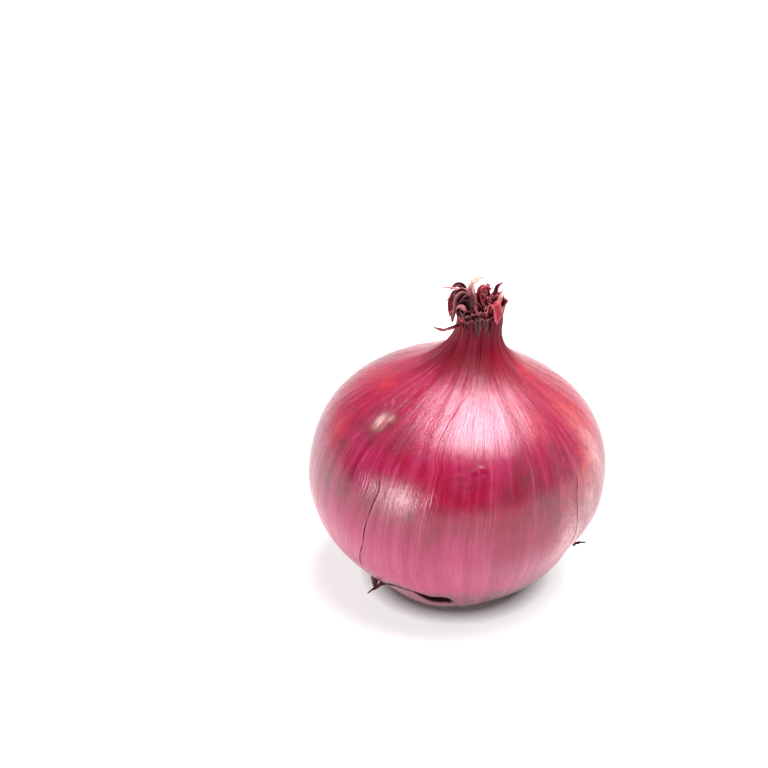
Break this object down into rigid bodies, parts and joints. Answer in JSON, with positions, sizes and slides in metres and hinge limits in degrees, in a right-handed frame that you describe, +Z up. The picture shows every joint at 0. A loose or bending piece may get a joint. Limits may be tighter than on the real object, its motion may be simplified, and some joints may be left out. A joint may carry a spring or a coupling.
{
  "type": "red onion",
  "caption": "Whole red onion in papery skin with a ribbed neck, a torn dry leaf top and a root tuft underneath, standing on its root end.",
  "frame": {"origin": "on the table, under the middle of the onion's bounding box", "axes": "+Z up from the root end to the dry leaf top, +X towards the side that the neck leans to, -Y towards the side that the picture shows"},
  "size_m": [0.0808, 0.0793, 0.0926],
  "materials": {
    "onion_skin": "papery red-purple skin with a soft gloss",
    "dry_leaf": "brittle dry leaf, dark maroon with pale torn edges, matte",
    "dry_root": "dry fibrous roots, tan, matte"
  },
  "bodies": {
    "root": {"bulb": "onion_skin", "leaf_tuft": "dry_leaf", "root_tuft": "dry_root"}
  },
  "joints": []
}
